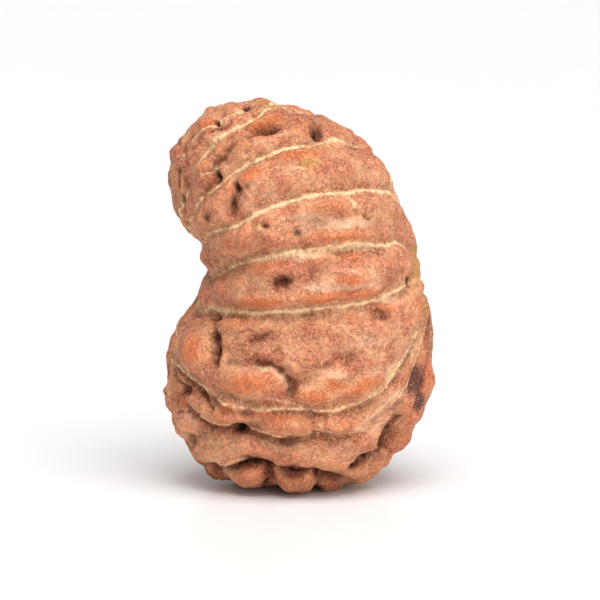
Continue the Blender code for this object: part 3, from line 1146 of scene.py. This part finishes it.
def skin_mesh():
    """The bead's skin as one closed mesh of quads, with its fields as point attributes."""
    directions, quads, sheet = cube_sphere(GRID)
    points, fields = shape_skin(directions, quads)
    mesh = bpy.data.meshes.new(PIECE)
    mesh.from_pydata((points * MM).tolist(), [], quads.tolist())
    mesh.uv_layers.new(name="OFBake").data.foreach_set("uv", sheet.astype(np.float32).ravel())
    for name, values in fields.items():
        attribute = mesh.attributes.new(name, "FLOAT", "POINT")
        attribute.data.foreach_set("value", values.astype(np.float32))
    mesh.shade_smooth()
    mesh.validate()
    return mesh


class Wire:
    """A number that a node puts out. Arithmetic on wires and numbers adds Math nodes."""

    def __init__(self, paint, socket):
        self.paint = paint
        self.socket = socket

    def math(self, operation, *others):
        sockets = dict(enumerate((self, *others)))
        node = self.paint.node("ShaderNodeMath", {"operation": operation}, sockets)
        return Wire(self.paint, node.outputs[0])

    def __add__(self, other):
        return self.math("ADD", other)

    def __mul__(self, other):
        return self.math("MULTIPLY", other)

    def __sub__(self, other):
        return self.math("SUBTRACT", other)

    def __rsub__(self, other):
        return (self * -1.0) + other

    __radd__ = __add__
    __rmul__ = __mul__

    def at_most(self, other):
        return self.math("MINIMUM", other)

    def at_least(self, other):
        return self.math("MAXIMUM", other)

    def away_from(self, value):
        return (self - value).math("ABSOLUTE")

    def step(self, low, high):
        """0 at low, 1 at high, level beyond them and smooth between."""
        settings = {"interpolation_type": "SMOOTHSTEP"}
        sockets = {"Value": self, "From Min": low, "From Max": high}
        node = self.paint.node("ShaderNodeMapRange", settings, sockets)
        return Wire(self.paint, node.outputs["Result"])


class Paint:
    """A material's node tree, built up node by node."""

    def __init__(self, name):
        self.material = bpy.data.materials.new(name)
        self.material.use_nodes = True
        self.tree = self.material.node_tree
        self.tree.nodes.clear()
        self.place = self.node("ShaderNodeTexCoord").outputs["Object"]

    def node(self, kind, settings=None, sockets=None):
        """A node of that type, with its settings, then its sockets' values or links."""
        made = self.tree.nodes.new(kind)
        for name, value in (settings or {}).items():
            setattr(made, name, value)
        for name, value in (sockets or {}).items():
            value = value.socket if isinstance(value, Wire) else value
            if isinstance(value, bpy.types.NodeSocket):
                self.tree.links.new(value, made.inputs[name])
            else:
                made.inputs[name].default_value = value
        return made

    def field(self, name):
        """One of the mesh's point attributes."""
        made = self.node("ShaderNodeAttribute", {"attribute_name": name})
        return Wire(self, made.outputs["Fac"])

    def noise(self, size, detail, rough=0.5):
        """Noise from 0 to 1 in the object's own space: the size of its grains in millimetres,
        how many finer layers it has and how strong each is beside the one before."""
        sockets = {"Vector": self.place, "Scale": 1 / (size * MM), "Detail": detail, "Roughness": rough}
        return Wire(self, self.node("ShaderNodeTexNoise", {}, sockets).outputs["Fac"])

    def mix(self, share, first, second):
        """A colour between two colours."""
        sockets = {0: share, 6: first, 7: second}
        return self.node("ShaderNodeMix", {"data_type": "RGBA"}, sockets).outputs[2]

    def completed(self, sockets):
        """The material, whose one shader has these values or links in its sockets."""
        surface = self.node("ShaderNodeBsdfPrincipled", {}, sockets)
        self.node("ShaderNodeOutputMaterial", {}, {"Surface": surface.outputs[0]})
        return self.material


def colour(red, green, blue):
    """A colour seen as 0 to 255 in a picture, as the shader's linear values."""
    shares = np.array((red, green, blue)) / 255
    linear = np.where(shares <= 0.04045, shares / 12.92, ((shares + 0.055) / 1.055) ** 2.4)
    return (*linear.tolist(), 1.0)


PINK_BROWN = colour(196, 118, 86)
LIGHT_TAN = colour(218, 150, 107)
DUSTY = colour(216, 161, 125)
PALE_PINK = colour(240, 192, 156)
ORANGE = colour(212, 112, 60)
RED_BROWN = colour(146, 72, 42)
WRINKLE_BROWN = colour(128, 78, 46)
# Olive brown: dirt and painted shade in the hollows
OLIVE_BROWN = colour(152, 95, 62)
SEAM_DUST = colour(226, 172, 124)
DARK_BROWN = colour(84, 42, 26)
# Painted shade in the pits, creases and grooves, partly dark stain
PIT_BROWN = colour(98, 44, 24)
PIT_BLACK = colour(36, 13, 6)
CREAM = colour(248, 209, 162)
PURPLE = colour(70, 34, 38)
YELLOW_TAN = colour(198, 140, 74)
WHITE_GRAIN = colour(242, 214, 180)


def skin_material():
    """Dry woody skin: dusty rose tan, orange where the knobs are worn, olive brown in the hollows
    as dirt and painted shade, with dark specks and pale grains, brown to black in the pits,
    creases and grooves as painted shade, partly dark stain, and cream along the seams. Brown
    and pale patches also paint shade on the top and the base and light on the lower body."""
    paint = Paint("dry_shell_skin")
    relief = paint.field("relief")
    hidden = paint.field("hidden")
    broad = paint.noise(4.0, 3.0)
    patchy = paint.noise(1.7, 3.0, 0.55)
    blotch = paint.noise(0.7, 3.0, 0.6)
    grain = paint.noise(0.26, 3.0, 0.6)
    fine = paint.noise(0.11, 2.0, 0.6)
    patchy_swing = patchy - 0.5
    blotch_swing = blotch - 0.5
    grain_swing = grain - 0.5

    def uneven(name, swing, low=0.15, high=0.85):
        """A field of the mesh whose edges are moved to and fro by a swing of noise."""
        return (paint.field(name) + swing).step(low, high)

    tone = (broad * 0.5 + patchy * 0.5).step(0.40, 0.60)
    base = paint.mix(tone, PINK_BROWN, LIGHT_TAN)
    dust = (patchy * 0.7 + blotch * 0.3 - 0.15 * relief).step(0.47, 0.66) * 0.7
    base = paint.mix(dust, base, DUSTY)
    # Pale: real pale zones, and on the lower body painted light that brightens it
    pale = uneven("pale", blotch_swing * 0.5)
    base = paint.mix(pale * 0.8, base, PALE_PINK)

    crest = (relief + patchy_swing * 0.5).step(0.08, 0.42)
    worn = uneven("orange", blotch_swing * 0.45).at_least(crest * (0.35 + 0.35 * hidden))
    base = paint.mix(worn * 0.8, base, ORANGE)
    # Painted shade, partly dirt: olive brown where the relief lies below its surroundings, darkening
    # the hollows
    hollow_dirt_and_shade = (relief * -1.0 + patchy_swing * 0.4).step(0.05, 0.45)
    base = paint.mix(hollow_dirt_and_shade * 0.5, base, OLIVE_BROWN)
    # Brown: real brown stains, and painted shade that darkens the top, the upper left and the lobes at
    # the base
    brown = uneven("brown", blotch_swing * 0.5, high=0.9)
    base = paint.mix(brown * 0.75, base, RED_BROWN)
    yellow = uneven("yellow", grain_swing * 0.8, 0.2, 0.8)
    base = paint.mix(yellow * 0.9, base, YELLOW_TAN)
    purple = uneven("purple", grain_swing * 0.8, 0.3, 0.65)
    base = paint.mix(purple * 0.85, base, PURPLE)

    rough_zone = patchy.step(0.62, 0.42) * 0.5 + hollow_dirt_and_shade * 0.5 + brown * 0.4 - worn * 0.35 - pale * 0.4
    wrinkle = (0.05 - paint.noise(0.75, 3.0, 0.6).away_from(0.5)).step(0.0, 0.05)
    base = paint.mix(wrinkle * rough_zone.at_least(0.15) * 0.38, base, WRINKLE_BROWN)
    specks = (0.54 - grain).step(0.0, 0.14) * rough_zone.at_least(0.22)
    base = paint.mix(specks * 0.65, base, DARK_BROWN)
    white_grain = fine.step(0.55, 0.66) * grain.step(0.42, 0.60)
    base = paint.mix(white_grain * (0.42 + rough_zone * 0.6).at_most(0.85), base, WHITE_GRAIN)

    cream = uneven("cream", blotch_swing * 0.6 + grain_swing * 0.4)
    base = paint.mix(cream * 0.7, base, CREAM)
    seam = paint.field("seam_edge") + blotch_swing * 0.26 + grain_swing * 0.18
    base = paint.mix(seam.step(-0.36, 0.0) * 0.40, base, SEAM_DUST)
    core = seam.step(-0.07, 0.07) * (0.45 + blotch * 0.9).at_most(0.95)
    base = paint.mix(core, base, CREAM)

    # Painted shade, partly dark stain: brown to black in the pits and creases and in the grooves under
    # the lips
    pit_edge = 0.95 + blotch_swing * 2.2 + grain_swing * 1.4
    pit = paint.field("pit").at_least(paint.field("groove") * 0.8) * pit_edge
    base = paint.mix(pit.step(0.12, 0.6) * 0.8, base, PIT_BROWN)
    base = paint.mix(pit.step(0.55, 0.9), base, PIT_BLACK)

    roughness = 0.62 - worn * 0.14 + hollow_dirt_and_shade * 0.14 + pit * 0.3 + grain_swing * 0.2
    bump_height = grain * 0.5 + fine * 0.3 + blotch * 0.7 - wrinkle * 0.3
    bump_sockets = {"Height": bump_height, "Strength": 0.9, "Distance": 0.28 * MM}
    bump = paint.node("ShaderNodeBump", {}, bump_sockets)
    return paint.completed(
        {
            "Base Color": base,
            "Roughness": roughness,
            "Normal": bump.outputs[0],
            "Specular IOR Level": 0.3,
        }
    )


def add_skin():
    """The bead's skin in place of its plain solid."""
    skin = bpy.data.objects.new(PIECE, skin_mesh())
    bpy.context.collection.objects.link(skin)
    skin.data.materials.append(skin_material())
    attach(skin, "root")
    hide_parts(NODE)


def floor_material():
    """White paper with a faint, broad unevenness of tone and a soft sheen."""
    paint = Paint("white_paper")
    darker = (0.84, 0.84, 0.84, 1.0)
    lighter = (0.87, 0.87, 0.87, 1.0)
    tone = paint.mix(paint.noise(40.0, 2.0), darker, lighter)
    return paint.completed({"Base Color": tone, "Roughness": 0.3})


def add_floor():
    """A wide level sheet at the height that the bead rests on."""
    half = 1.5
    mesh = bpy.data.meshes.new("floor")
    corners = [(-half, -half, 0.0), (half, -half, 0.0), (half, half, 0.0), (-half, half, 0.0)]
    mesh.from_pydata(corners, [], [(0, 1, 2, 3)])
    mesh.materials.append(floor_material())
    floor = bpy.data.objects.new("floor", mesh)
    bpy.context.collection.objects.link(floor)


def add_sun(name, heading, height, spread, strength):
    """A soft sun: heading in degrees from the front towards the right, height above the
    floor in degrees, spread of its disc in degrees."""
    lamp = bpy.data.lights.new(name, "SUN")
    lamp.angle = math.radians(spread)
    lamp.energy = strength
    light = bpy.data.objects.new(name, lamp)
    light.rotation_euler = (math.radians(90 - height), 0.0, math.radians(heading))
    bpy.context.collection.objects.link(light)


def add_world(strength):
    """Even white surroundings."""
    world = bpy.data.worlds.new("soft_white")
    world.use_nodes = True
    background = world.node_tree.nodes["Background"]
    background.inputs["Color"].default_value = (1.0, 0.99, 0.985, 1.0)
    background.inputs["Strength"].default_value = strength
    bpy.context.scene.world = world


def add_camera():
    """The camera at the picture's angle, with its frame as wide as the picture's."""
    data = bpy.data.cameras.new("camera")
    frame_width = PICTURE_PIXELS * MM_PER_PIXEL
    data.sensor_fit = "HORIZONTAL"
    data.sensor_width = SENSOR_WIDTH
    data.lens = SENSOR_WIDTH * CAMERA_DISTANCE / frame_width
    data.clip_start = NEAREST_SEEN
    centre = (PICTURE_PIXELS / 2 - AIM_PIXEL) / PICTURE_PIXELS
    data.shift_x = centre[0]
    data.shift_y = -centre[1]
    camera = bpy.data.objects.new("camera", data)
    camera.location = EYE * MM
    camera.rotation_euler = (math.pi / 2 - CAMERA_DROP, 0.0, 0.0)
    bpy.context.collection.objects.link(camera)
    bpy.context.scene.camera = camera


bpy.context.scene.view_settings.view_transform = "Standard"
add_skin()
add_floor()
add_world(strength=0.47)
add_sun("fill", heading=30, height=12, spread=55, strength=1.5)
add_sun("overhead", heading=16, height=66, spread=50, strength=3.15)
add_camera()
